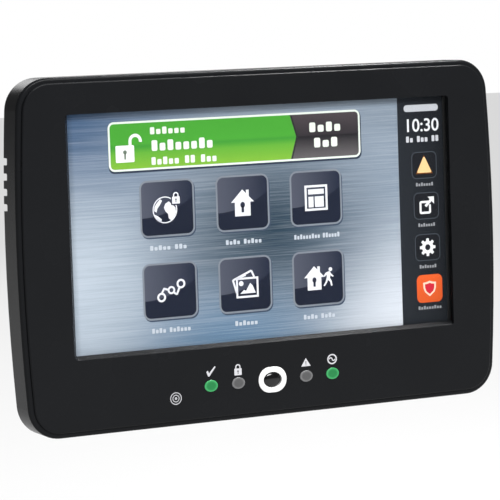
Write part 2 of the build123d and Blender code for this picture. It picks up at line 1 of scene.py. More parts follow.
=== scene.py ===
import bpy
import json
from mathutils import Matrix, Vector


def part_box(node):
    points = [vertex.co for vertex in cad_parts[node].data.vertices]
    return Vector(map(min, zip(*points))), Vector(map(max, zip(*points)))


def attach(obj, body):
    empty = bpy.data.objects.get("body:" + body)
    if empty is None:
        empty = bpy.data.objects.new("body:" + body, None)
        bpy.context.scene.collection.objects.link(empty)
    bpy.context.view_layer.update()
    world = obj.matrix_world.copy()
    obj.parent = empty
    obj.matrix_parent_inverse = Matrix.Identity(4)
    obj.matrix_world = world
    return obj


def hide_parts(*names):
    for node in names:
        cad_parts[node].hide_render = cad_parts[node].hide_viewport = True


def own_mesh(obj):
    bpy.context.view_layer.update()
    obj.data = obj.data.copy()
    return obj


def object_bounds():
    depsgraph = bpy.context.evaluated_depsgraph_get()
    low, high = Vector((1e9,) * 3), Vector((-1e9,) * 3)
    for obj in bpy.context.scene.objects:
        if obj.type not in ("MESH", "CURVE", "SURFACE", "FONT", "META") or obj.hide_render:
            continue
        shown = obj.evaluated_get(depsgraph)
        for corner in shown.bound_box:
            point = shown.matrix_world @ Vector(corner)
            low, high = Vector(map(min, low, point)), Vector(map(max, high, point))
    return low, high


bl_info = {
    "name": "Touchscreen Alarm Keypad",
    "version": (1, 0, 0),
    "blender": (4, 5, 0),
    "location": "View3D > Sidebar > Alarm Keypad",
    "description": "Screen artwork, face prints, finishes and studio for a wall-mounted alarm keypad",
    "category": "Object",
}

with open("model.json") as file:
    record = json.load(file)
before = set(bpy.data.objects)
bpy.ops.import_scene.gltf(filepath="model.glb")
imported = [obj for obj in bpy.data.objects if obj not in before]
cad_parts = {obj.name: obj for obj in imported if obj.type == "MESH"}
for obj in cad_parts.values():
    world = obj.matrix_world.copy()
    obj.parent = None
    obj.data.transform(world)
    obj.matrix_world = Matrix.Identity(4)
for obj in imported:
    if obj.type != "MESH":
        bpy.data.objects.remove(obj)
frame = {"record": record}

import json
import math

import bpy
from bpy.props import FloatProperty, FloatVectorProperty, PointerProperty
from mathutils import Matrix, Vector

CAD_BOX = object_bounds()

MM = 0.001
BODY = "front_unit"
WHITE = (1, 1, 1, 1)
UPRIGHT = (math.pi / 2, 0, 0)


def node_box(node):
    low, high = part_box(node)
    return [v / MM for v in low], [v / MM for v in high]


# Heights H are millimetres in front of the wall plane, as on the drawing.
CELL_LOW, CELL_HIGH = node_box("display_cell")
GLASS_LOW, GLASS_HIGH = node_box("touch_glass")
BEZEL_LOW, BEZEL_HIGH = node_box("front_bezel")
BUTTON_LOW, BUTTON_HIGH = node_box("home_button")
SCREEN_Z = (GLASS_LOW[2] + GLASS_HIGH[2]) / 2
PICTURE_H = -CELL_LOW[1]
FACE_H = -BEZEL_LOW[1]
BUTTON_Z = (BUTTON_LOW[2] + BUTTON_HIGH[2]) / 2
LENS_X = [sum(c[0] for c in node_box(n)) / 2 for n in
          ("ready_lens", "armed_lens", "trouble_lens", "power_lens")]

# Layers of the picture, all in the thin gap between display and touch glass.
LAYER_PAPER = PICTURE_H + 0.01
LAYER_SHADE = PICTURE_H + 0.06
LAYER_PANEL = PICTURE_H + 0.09
LAYER_FILL = PICTURE_H + 0.12
LAYER_GLOSS = PICTURE_H + 0.15
LAYER_MARK = PICTURE_H + 0.18
LAYER_TOP = PICTURE_H + 0.21
SHEET = 0.025

# The picture shows inside the ring of tape round the display.
PICTURE_W = 155.8
PICTURE_TALL = 87.8

# How strongly the lit picture and the two lit lamps shine, and how far a lamp's pool reaches.
GLOW = 0.15
LAMP_GLOW = 0.55
LENS_REACH = 2.9


def srgb(r, g, b):
    def channel(v):
        v = v / 255
        return v / 12.92 if v <= 0.04045 else ((v + 0.055) / 1.055) ** 2.4

    return (channel(r), channel(g), channel(b))


# ---------------------------------------------------------------- user settings
def length(name, text, value):
    return FloatProperty(name=name, description=text, default=value * MM, unit="LENGTH", precision=4)


def colour(name, text, value):
    return FloatVectorProperty(
        name=name, description=text, default=srgb(*value), subtype="COLOR", min=0, max=1, size=3
    )


class KeypadSizes(bpy.types.PropertyGroup):
    banner_width: length("Banner width", "Width of the status banner", 103.0)
    banner_height: length("Banner height", "Height of the status banner", 17.9)
    banner_x: length("Banner centre", "Sideways place of the status banner", -9.6)
    banner_z: length("Banner level", "Height of the banner above the screen's centre", 31.45)
    banner_corner: length("Banner corner", "Corner radius of the banner", 2.3)
    banner_rim: length("Banner rim", "Width of the banner's pale rim", 0.75)
    arrow_x: length("Arrow shoulder", "Where the green part of the banner ends", 12.3)
    arrow_tip: length("Arrow tip", "How far the green part's point stands out", 2.5)
    tile_width: length("Tile width", "Width of a menu tile with its rim", 21.8)
    tile_height: length("Tile height", "Height of a menu tile with its rim", 20.8)
    tile_corner: length("Tile corner", "Corner radius of a menu tile", 3.0)
    tile_rim: length("Tile rim", "Width of a tile's pale rim", 0.7)
    tile_pitch_x: length("Tile spacing across", "Centre-to-centre distance across", 30.55)
    tile_pitch_z: length("Tile spacing down", "Centre-to-centre distance down", 30.3)
    side_bar_x: length("Side bar edge", "Left edge of the dark side bar", 58.2)
    side_tile_width: length("Side tile width", "Width of a side bar tile", 11.0)
    side_tile_height: length("Side tile height", "Height of a side bar tile", 10.3)


class KeypadColours(bpy.types.PropertyGroup):
    face: colour("Face plastic", "Moulded front", (23, 24, 26))
    banner_green: colour("Banner green", "Upper green of the banner", (74, 166, 54))
    banner_lime: colour("Banner lime", "Lower green of the banner", (132, 186, 60))
    banner_dark: colour("Banner dark", "Dark right end of the banner", (62, 56, 60))
    tile_navy: colour("Tile navy", "Lower part of a tile", (20, 26, 42))
    tile_haze: colour("Tile haze", "Gloss on the upper part of a tile", (82, 86, 100))
    tile_rim: colour("Tile rim", "Pale line round a tile", (138, 146, 154))
    side_bar: colour("Side bar", "Dark strip at the screen's right", (33, 37, 43))
    amber: colour("Amber", "Warning triangle", (252, 206, 146))
    orange: colour("Orange", "Emergency tile", (232, 96, 40))
    shield_red: colour("Shield red", "Shield on the emergency tile", (205, 38, 58))
    lamp_green: colour("Lamp green", "Lit status lights", (4, 112, 54))
    lamp_grey: colour("Lamp grey", "Unlit status lights", (86, 86, 87))
    print_white: colour("Print", "Symbols printed on the face", (200, 200, 204))


def sizes(*names):
    """The user's sizes of these names, in millimetres."""
    return [getattr(bpy.context.scene.keypad_sizes, name) / MM for name in names]


def colours():
    return bpy.context.scene.keypad_colours


# ---------------------------------------------------------------- shop tools
def spot(x, z, h):
    """A place in metres from millimetres across, up and out from the wall."""
    return x * MM, -h * MM, z * MM


def clear_selection():
    if bpy.context.object and bpy.context.object.mode != "OBJECT":
        bpy.ops.object.mode_set(mode="OBJECT")
    bpy.ops.object.select_all(action="DESELECT")


def take(name, piece=None):
    piece = piece or bpy.context.object
    piece.name = name
    piece.data.name = name
    return piece


def edit_all():
    bpy.ops.object.mode_set(mode="EDIT")
    bpy.ops.mesh.select_all(action="SELECT")


def apply_place():
    bpy.ops.object.transform_apply(location=True, rotation=True, scale=True)


def raised(piece, thickness, band=0.0):
    """Gives the flat outline being edited its thickness towards the viewer, or only a band of it."""
    bpy.ops.mesh.select_all(action="SELECT")
    if band > 0:
        bpy.ops.mesh.inset(thickness=band * MM, use_even_offset=True)
        bpy.ops.mesh.delete(type="FACE")
        bpy.ops.mesh.select_all(action="SELECT")
    bpy.ops.mesh.extrude_region_move(TRANSFORM_OT_translate={"value": (0, -thickness * MM, 0)})
    bpy.ops.mesh.select_all(action="SELECT")
    bpy.ops.mesh.normals_make_consistent(inside=False)
    bpy.ops.object.mode_set(mode="OBJECT")
    return piece


def slab(x, z, width, tall, h, thickness=SHEET, corner=0.0, band=0.0, turn=0.0, segments=6):
    """A thin rounded panel, or a band of one, standing at height h."""
    clear_selection()
    bpy.ops.mesh.primitive_plane_add(size=1, location=spot(x, z, h), rotation=(math.pi / 2, turn, 0))
    piece = bpy.context.object
    piece.scale = (width * MM, tall * MM, 1)
    apply_place()
    edit_all()
    if corner > 0:
        bpy.ops.mesh.bevel(offset=corner * MM, segments=segments, affect="VERTICES")
    return raised(piece, thickness, band)


def disc(x, z, radius_x, radius_z, h, thickness=SHEET, band=0.0, sides=28):
    """A thin round or oval panel, or a band of one."""
    clear_selection()
    bpy.ops.mesh.primitive_circle_add(
        vertices=sides, radius=1, fill_type="NGON", location=spot(x, z, h), rotation=UPRIGHT
    )
    piece = bpy.context.object
    piece.scale = (radius_x * MM, radius_z * MM, 1)
    apply_place()
    edit_all()
    return raised(piece, thickness, band)


def cut_shape(points, h, thickness=SHEET, x=0.0, z=0.0, size=1.0):
    """A flat outline of this many corners, each corner pulled to its place."""
    clear_selection()
    bpy.ops.mesh.primitive_circle_add(vertices=len(points), radius=MM, fill_type="NGON", rotation=UPRIGHT)
    piece = bpy.context.object
    apply_place()
    bpy.ops.object.mode_set(mode="EDIT")
    bpy.ops.mesh.select_mode(type="VERT")
    for i, (px, pz) in enumerate(points):
        bpy.ops.mesh.select_all(action="DESELECT")
        bpy.ops.object.mode_set(mode="OBJECT")
        corner = piece.data.vertices[i]
        corner.select = True
        pull = Vector(spot(x + px * size, z + pz * size, h)) - corner.co
        bpy.ops.object.mode_set(mode="EDIT")
        bpy.ops.transform.translate(value=pull)
    return raised(piece, thickness)


def stroke(start, end, width, h, thickness=SHEET):
    """A straight bar from start to end."""
    dx = end[0] - start[0]
    dz = end[1] - start[1]
    middle = ((start[0] + end[0]) / 2, (start[1] + end[1]) / 2)
    return slab(*middle, math.hypot(dx, dz), width, h, thickness, turn=-math.atan2(dz, dx))


def strokes(x, z, runs, width, h):
    """Straight bars round a middle, one for each run from (a, b) to (c, d)."""
    return [stroke((x + a, z + b), (x + c, z + d), width, h) for a, b, c, d in runs]


def arc_points(x, z, radius, first, last, steps):
    """Points along an arc, between two angles in degrees."""
    angles = [math.radians(first + (last - first) * i / steps) for i in range(steps + 1)]
    return [(x + radius * math.cos(a), z + radius * math.sin(a)) for a in angles]


def arch(x, z, radius, band, first, last, h, thickness=SHEET, steps=14):
    """Part of a ring, between two angles in degrees."""
    outer = arc_points(x, z, radius, first, last, steps)
    inner = arc_points(x, z, radius - band, first, last, steps)
    return cut_shape(outer + inner[::-1], h, thickness)


def join(name, pieces):
    clear_selection()
    for piece in pieces:
        piece.select_set(True)
    bpy.context.view_layer.objects.active = pieces[0]
    if len(pieces) > 1:
        bpy.ops.object.join()
    return take(name, bpy.context.object)


def finish_piece(piece, material, body=BODY):
    piece.data.materials.clear()
    piece.data.materials.append(material)
    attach(piece, body)
    return piece


def lay(name, pieces, tone):
    """Joins pieces of the picture; tone is a lit material, a colour, or a function that gives one."""
    art = tone if isinstance(tone, bpy.types.Material) else lit_art(name, tone)
    return finish_piece(join(name, pieces), art)


# ---------------------------------------------------------------- materials
def new_material(name, stretch=(1, 1, 1)):
    """A material, its shader, and the place on the piece that its patterns read."""
    material = bpy.data.materials.new(name)
    material.use_nodes = True
    shader = material.node_tree.nodes["Principled BSDF"]
    mapping = new_node(shader, "ShaderNodeMapping")
    dial(mapping, Scale=stretch)
    wire(new_node(shader, "ShaderNodeTexCoord").outputs["Object"], mapping.inputs["Vector"])
    return material, shader, mapping.outputs["Vector"]


def new_node(socket, kind):
    """A new node in the node tree that this socket belongs to."""
    return socket.id_data.nodes.new(kind)


def dial(node, **settings):
    """Sets a node's inputs by name, with _ for a space."""
    for key, value in settings.items():
        node.inputs[key.replace("_", " ")].default_value = value


def wire(start, end):
    start.id_data.links.new(start, end)


def noise(vector, scale, detail=3, roughness=0.5):
    texture = new_node(vector, "ShaderNodeTexNoise")
    dial(texture, Scale=scale, Detail=detail, Roughness=roughness)
    wire(vector, texture.inputs["Vector"])
    return texture.outputs["Fac"]


def remap(value, low, high, to_low, to_high):
    node = new_node(value, "ShaderNodeMapRange")
    dial(node, From_Min=low, From_Max=high, To_Min=to_low, To_Max=to_high)
    wire(value, node.inputs["Value"])
    return node.outputs["Result"]


def blend(factor, first, second):
    """The first colour where the factor is 0, the second where it is 1; each a colour or a socket."""
    node = new_node(factor, "ShaderNodeMix")
    node.data_type = "RGBA"
    wire(factor, node.inputs[0])
    for socket, colour_in in ((node.inputs[6], first), (node.inputs[7], second)):
        if isinstance(colour_in, tuple):
            socket.default_value = (*colour_in, 1)
        else:
            wire(colour_in, socket)
    return node.outputs[2]


def shade_of(colour_in, share):
    """The same colour, this many times as light."""
    return tuple(min(1, c * share) for c in colour_in)


def bump(shader, height, depth_mm):
    node = new_node(height, "ShaderNodeBump")
    dial(node, Distance=depth_mm * MM, Strength=1.0)
    wire(height, node.inputs["Height"])
    wire(node.outputs["Normal"], shader.inputs["Normal"])


def round_pool(vector, scale, offset):
    """1 in the middle of a round patch on the face, falling to 0 at its edge."""
    mapping = new_node(vector, "ShaderNodeMapping")
    dial(mapping, Scale=scale, Location=offset)
    wire(vector, mapping.inputs["Vector"])
    gradient = new_node(vector, "ShaderNodeTexGradient")
    gradient.gradient_type = "SPHERICAL"
    wire(mapping.outputs["Vector"], gradient.inputs["Vector"])
    return gradient.outputs["Fac"]


def moulded_plastic(name, base, rough=0.5, grain=2600, depth=0.012, wear=0.12, specular=0.5):
    material, shader, vector = new_material(name)
    broad = noise(vector, 28, 4)
    fine = noise(vector, grain, 2)
    tint = blend(remap(broad, 0.3, 0.7, 0, 1),
                 shade_of(base, 1 - wear), shade_of(base, 1 + wear))
    wire(tint, shader.inputs["Base Color"])
    wire(remap(broad, 0.3, 0.7, rough - 0.04, rough + 0.04), shader.inputs["Roughness"])
    dial(shader, Specular_IOR_Level=specular)
    bump(shader, fine, depth)
    return material


def plain_metal(name, base, rough=0.35, stretch=(1, 1, 1), scratch=900, depth=0.004):
    material, shader, vector = new_material(name, stretch)
    fine = noise(vector, scratch, 3)
    broad = noise(vector, 60, 3)
    tint = blend(remap(broad, 0.3, 0.7, 0, 1),
                 shade_of(base, 0.82), base)
    wire(tint, shader.inputs["Base Color"])
    dial(shader, Metallic=1.0)
    wire(remap(fine, 0.3, 0.7, rough - 0.08, rough + 0.1), shader.inputs["Roughness"])
    bump(shader, fine, depth)
    return material


def shiny(name, base, rough=0.12, coat=0.5, vary=0.06):
    material, shader, vector = new_material(name)
    broad = noise(vector, 120, 3)
    tint = blend(broad, shade_of(base, 1 - vary), base)
    wire(tint, shader.inputs["Base Color"])
    wire(remap(broad, 0.3, 0.7, rough * 0.8, rough * 1.3), shader.inputs["Roughness"])
    dial(shader, Coat_Weight=coat, Coat_Roughness=0.05)
    return material


def circuit_board(name):
    """Solder mask with fine copper tracks showing through, and pale pads."""
    material, shader, vector = new_material(name)
    tracks = new_node(vector, "ShaderNodeTexVoronoi")
    tracks.distance = "MANHATTAN"
    tracks.feature = "DISTANCE_TO_EDGE"
    dial(tracks, Scale=260)
    wire(vector, tracks.inputs["Vector"])
    line = remap(tracks.outputs["Distance"], 0.03, 0.09, 1, 0)
    weave = noise(vector, 900, 2)
    mask = blend(line, (0.012, 0.10, 0.045), (0.05, 0.22, 0.09))
    tint = blend(remap(weave, 0.3, 0.7, 0, 0.25), mask, (0.008, 0.06, 0.03))
    wire(tint, shader.inputs["Base Color"])
    dial(shader, Roughness=0.32)
    bump(shader, line, 0.02)
    return material


def clear_touch_glass(name):
    material, shader, vector = new_material(name)
    fine = noise(vector, 1500, 2)
    dial(shader, Base_Color=(0.02, 0.025, 0.03, 1), Alpha=0.06)
    wire(remap(fine, 0.3, 0.7, 0.2, 0.3), shader.inputs["Roughness"])
    dial(shader, Specular_IOR_Level=0.35)
    bump(shader, fine, 0.0015)
    material.surface_render_method = "BLENDED"
    return material


def lit_art(name, tone):
    """A picture colour, or a function that gives one, that shines a little as a backlit display does."""
    material, shader, vector = new_material(name)
    dial(shader, Roughness=0.55, Specular_IOR_Level=0.1)
    shimmer = remap(noise(vector, 4200, 1), 0.3, 0.7, 0.0, 0.05)
    tint = blend(shimmer, tone(vector) if callable(tone) else tone, (0, 0, 0))
    wire(tint, shader.inputs["Base Color"])
    wire(tint, shader.inputs["Emission Color"])
    dial(shader, Emission_Strength=GLOW)
    return material


def split_place(vector):
    node = new_node(vector, "ShaderNodeSeparateXYZ")
    wire(vector, node.inputs["Vector"])
    return node.outputs["X"], node.outputs["Z"]


def pool_of(vector, x, z, reach_x, reach_z):
    """1 at this place on the picture, falling smoothly to 0 at its reach."""
    scale = (1 / (reach_x * MM), 0, 1 / (reach_z * MM))
    pool = round_pool(vector, scale, (-x / reach_x, 0, -(SCREEN_Z + z) / reach_z))
    node = new_node(vector, "ShaderNodeMapRange")
    node.interpolation_type = "SMOOTHSTEP"
    wire(pool, node.inputs["Value"])
    return node.outputs["Result"]


def brushed_backdrop(vector):
    """Blue steel, brushed across: dark at the upper left and behind the tiles, pale at both lower sides,
    with painted shadow along its left and top edges.
    """
    field = srgb(136, 150, 165)
    pools = (
        ((-88, 54, 84, 72), (48, 84, 124)),
        ((-82, -18, 60, 56), (186, 198, 210)),
        ((66, -46, 62, 58), (220, 226, 234)),
        ((2, -2, 62, 48), (38, 60, 76)),
        ((-14, -50, 56, 40), (92, 126, 156)),
    )
    for place, tone in pools:
        field = blend(pool_of(vector, *place), field, srgb(*tone))
    brushing = new_node(vector, "ShaderNodeMapping")
    dial(brushing, Scale=(22, 1, 1700))
    wire(vector, brushing.inputs["Vector"])
    streaks = noise(brushing.outputs["Vector"], 1.0, 3, 0.7)
    field = blend(remap(streaks, 0.45, 0.75, 0, 0.16), field, srgb(236, 242, 250))
    field = blend(remap(streaks, 0.5, 0.25, 0, 0.16), field, srgb(40, 60, 84))
    # Painted shadow: the picture darkens towards black along its left and top edges, where the edge of the
    # opening shades it.
    x, z = split_place(vector)
    left = remap(x, -74.5 * MM, -78.0 * MM, 0, 0.5)
    top = remap(z, (SCREEN_Z + 42.6) * MM, (SCREEN_Z + 44.2) * MM, 0, 0.5)
    field = blend(left, field, (0.01, 0.015, 0.02))
    return blend(top, field, (0.01, 0.015, 0.02))


# ---------------------------------------------------------------- operators
class KEYPAD_OT_backdrop(bpy.types.Operator):
    """Lay the brushed blue backdrop of the picture"""

    bl_idname = "keypad.backdrop"
    bl_label = "Picture backdrop"

    def execute(self, context):
        paper = slab(0, SCREEN_Z, PICTURE_W, PICTURE_TALL, LAYER_PAPER, 0.04)
        lay("picture_backdrop", [paper], brushed_backdrop)
        (bar_left,) = sizes("side_bar_x")
        bar_right = PICTURE_W / 2
        bar = slab((bar_left + bar_right) / 2, SCREEN_Z, bar_right - bar_left, PICTURE_TALL, LAYER_PANEL)

        def fade(vector):
            x, z = split_place(vector)
            across = remap(x, bar_left * MM, 80 * MM, 0, 1)
            dark = shade_of(colours().side_bar, 0.5)
            return blend(across, tuple(colours().side_bar), dark)

        lay("side_bar", [bar], fade)
        return {"FINISHED"}


def banner_box():
    """Middle, level, width and height of the banner."""
    x, level, width, tall = sizes("banner_x", "banner_z", "banner_width", "banner_height")
    return x, SCREEN_Z + level, width, tall


class KEYPAD_OT_banner(bpy.types.Operator):
    """Build the status banner: shade, rim, green part with its point, and dark end"""

    bl_idname = "keypad.banner"
    bl_label = "Status banner"

    def execute(self, context):
        x, z, width, tall = banner_box()
        corner, rim, shoulder, point = sizes("banner_corner", "banner_rim", "arrow_x", "arrow_tip")
        shade = slab(x + 0.2, z - 0.6, width + 0.5, tall + 0.3, LAYER_SHADE, corner=corner)
        lay("banner_shade", [shade], srgb(50, 60, 78))
        edge = slab(x, z, width, tall, LAYER_PANEL, corner=corner)
        lay("banner_rim", [edge], srgb(236, 246, 236))
        dark = slab(x, z, width - 2 * rim, tall - 2 * rim, LAYER_FILL, corner=corner - rim)

        def dark_end(vector):
            px, pz = split_place(vector)
            upper = remap(pz, (z + tall / 2) * MM, z * MM, 0, 1)
            lower = remap(pz, (z - 0.2) * MM, (z - tall / 2) * MM, 0, 1)
            glow = blend(upper, srgb(78, 70, 74), srgb(50, 46, 50))
            below = blend(lower, srgb(34, 32, 36), srgb(104, 100, 102))
            step = remap(pz, (z + 0.3) * MM, (z - 0.3) * MM, 0, 1)
            return blend(step, glow, below)

        lay("banner_dark_end", [dark], dark_end)
        left = x - width / 2 + rim
        tip = shoulder + point
        half = tall / 2 - rim
        bend = corner - rim
        points = arc_points(left + bend, z + half - bend, bend, 90, 180, 6)
        points += arc_points(left + bend, z - half + bend, bend, 180, 270, 6)
        points += [(shoulder, z - half), (tip, z), (shoulder, z + half)]
        green = cut_shape(points, LAYER_GLOSS)

        def green_field(vector):
            px, pz = split_place(vector)
            level = remap(pz, (z + 1.0) * MM, (z - tall / 2) * MM, 0, 1)
            field = blend(level, tuple(colours().banner_green), tuple(colours().banner_lime))
            line = remap(pz, (z - 2.6) * MM, (z - 0.2) * MM, 0, 0.55)
            above = remap(pz, (z - 0.2) * MM, (z + 0.9) * MM, 1, 0)
            both = new_node(vector, "ShaderNodeMath")
            both.operation = "MULTIPLY"
            wire(line, both.inputs[0])
            wire(above, both.inputs[1])
            return blend(both.outputs[0], field, srgb(40, 140, 52))

        lay("banner_green", [green], green_field)
        groove = [stroke((shoulder + 0.5, z + side * half), (tip + 0.5, z), 0.5, LAYER_FILL + 0.005)
                  for side in (1, -1)]
        lay("banner_point_shade", groove, srgb(40, 44, 40))
        return {"FINISHED"}


def padlock(x, z, width, h, open_shackle, hole_h):
    """Body, shackle and the keyhole that is laid over it."""
    tall = width * 0.84
    body = slab(x, z, width, tall, h, corner=width * 0.06, segments=3)
    radius = width * 0.36
    band = width * 0.16
    top = z + tall / 2
    if open_shackle:
        cx = x + width / 2 + radius - band * 1.8
        parts = [arch(cx, top + radius * 0.55, radius, band, -12, 180, h),
                 slab(cx - radius + band / 2, top + radius * 0.27, band, radius * 0.56, h)]
    else:
        parts = [arch(x, top + radius * 0.5, radius, band, 0, 180, h)]
        for side in (-1, 1):
            parts.append(slab(x + side * (radius - band / 2), top + radius * 0.25, band, radius * 0.52, h))
    hole = [disc(x, z + tall * 0.1, width * 0.1, width * 0.1, hole_h, sides=16),
            slab(x, z - tall * 0.14, width * 0.09, tall * 0.36, hole_h)]
    return [body] + parts, hole


class KEYPAD_OT_banner_padlock(bpy.types.Operator):
    """Build the open padlock at the left of the banner"""

    bl_idname = "keypad.banner_padlock"
    bl_label = "Banner padlock"

    def execute(self, context):
        x, z, width, tall = banner_box()
        x = x - width / 2 + 6.4
        lock, hole = padlock(x, SCREEN_Z + 28.75, 7.3, LAYER_MARK, True, LAYER_TOP)
        lay("banner_padlock", lock, srgb(248, 250, 248))
        lay("banner_keyhole", hole, srgb(112, 128, 112))
        return {"FINISHED"}


def word_row(left, right, z, tall, words, h):
    """A row of plain blocks that stands for a line of words: no letters are drawn."""
    letters = sum(words) + 0.8 * (len(words) - 1)
    pitch = (right - left) / letters
    blocks = []
    cursor = left
    count = 0
    for word in words:
        for i in range(word):
            lift = 1.0 if i == 0 or count % 4 == 2 else 0.72
            blocks.append(slab(
                cursor + pitch * 0.42, z - tall / 2 + tall * lift / 2, pitch * 0.72, tall * lift, h,
                corner=min(pitch, tall) * 0.16, segments=2,
            ))
            cursor += pitch
            count += 1
        cursor += pitch * 0.8
    return blocks


class KEYPAD_OT_banner_words(bpy.types.Operator):
    """Lay the plain word rows of the banner"""

    bl_idname = "keypad.banner_words"
    bl_label = "Banner word rows"

    def execute(self, context):
        lines = (
            (-44.7, -30.2, 36.6, 2.6, (6,)),
            (-44.3, -19.0, 31.2, 3.9, (8,)),
            (-44.5, -17.8, 25.6, 2.8, (5, 2, 3)),
            (20.2, 34.2, 34.6, 3.6, (4,)),
            (22.0, 32.8, 28.8, 3.6, (3,)),
        )
        rows = []
        for left, right, level, tall, words in lines:
            rows += word_row(left, right, SCREEN_Z + level, tall, words, LAYER_MARK)
        lay("banner_word_rows", rows, srgb(238, 246, 234))
        return {"FINISHED"}


def tile_places():
    """Middles of the six tiles, the upper row first."""
    across, down = sizes("tile_pitch_x", "tile_pitch_z")
    return [(-8.2 + across * (i - 1), SCREEN_Z + 8.2 - down * j) for j in range(2) for i in range(3)]


class KEYPAD_OT_tiles(bpy.types.Operator):
    """Build the six menu tiles: shade, pale rim, dark field and the gloss across it"""

    bl_idname = "keypad.tiles"
    bl_label = "Menu tiles"

    def execute(self, context):
        width, tall, corner, rim, pitch = sizes(
            "tile_width", "tile_height", "tile_corner", "tile_rim", "tile_pitch_x"
        )
        shades = []
        rims = []
        fields = []
        glosses = []
        for x, z in tile_places():
            shades.append(slab(x + 0.35, z - 0.55, width, tall, LAYER_SHADE, corner=corner))
            rims.append(slab(x, z, width, tall, LAYER_PANEL, corner=corner))
            fields.append(slab(x, z, width - 2 * rim, tall - 2 * rim, LAYER_FILL, corner=corner - rim))
            glosses.append(self.gloss(x, z, width - 2 * rim, tall - 2 * rim, corner - rim))
        lay("tile_shades", shades, srgb(62, 76, 96))

        def rim_tone(vector):
            wide = noise(vector, 60, 1)
            return blend(wide, srgb(120, 126, 138), tuple(colours().tile_rim))

        lay("tile_rims", rims, rim_tone)
        navy = tuple(colours().tile_navy)

        def field_tone(vector):
            wide = noise(vector, 40, 1)
            return blend(wide, navy, shade_of(navy, 1.5))

        lay("tile_fields", fields, field_tone)
        haze = tuple(colours().tile_haze)

        def gloss_tone(vector):
            # brightest at each tile's left edge and fading to its right
            x, z = split_place(vector)
            wrap = new_node(vector, "ShaderNodeMath")
            wrap.operation = "WRAP"
            start = (tile_places()[0][0] - width / 2) * MM
            wrap.inputs[1].default_value = start + pitch * MM
            wrap.inputs[2].default_value = start
            wire(x, wrap.inputs[0])
            fade = remap(wrap.outputs[0], start, start + width * MM, 0, 1)
            return blend(fade, haze, shade_of(navy, 1.7))

        lay("tile_glosses", glosses, gloss_tone)
        return {"FINISHED"}

    def gloss(self, x, z, width, tall, corner):
        """The upper part of a tile, ending below in a shallow rising curve."""
        left = x - width / 2
        right = x + width / 2
        top = z + tall / 2
        points = arc_points(right - corner, top - corner, corner, 0, 90, 5)
        points += arc_points(left + corner, top - corner, corner, 90, 180, 5)
        for i in range(11):
            t = i / 10
            points.append((left + width * t, z - tall * 0.17 + tall * 0.36 * t * t))
        return cut_shape(points, LAYER_FILL + 0.004, SHEET)


def house(x, z, size, h, hole_h):
    """A house with a chimney, and the keyhole laid over it."""
    outline = [(-1.0, 0.1), (0.0, 1.1), (0.32, 0.78), (0.32, 1.05), (0.56, 1.05), (0.56, 0.54), (1.0, 0.1),
               (0.68, 0.1), (0.68, -1.0), (-0.68, -1.0), (-0.68, 0.1)]
    walls = cut_shape(outline, h, x=x, z=z, size=size)
    hole = [disc(x, z - size * 0.12, size * 0.2, size * 0.24, hole_h, sides=16),
            slab(x, z - size * 0.45, size * 0.22, size * 0.5, hole_h)]
    return [walls], hole


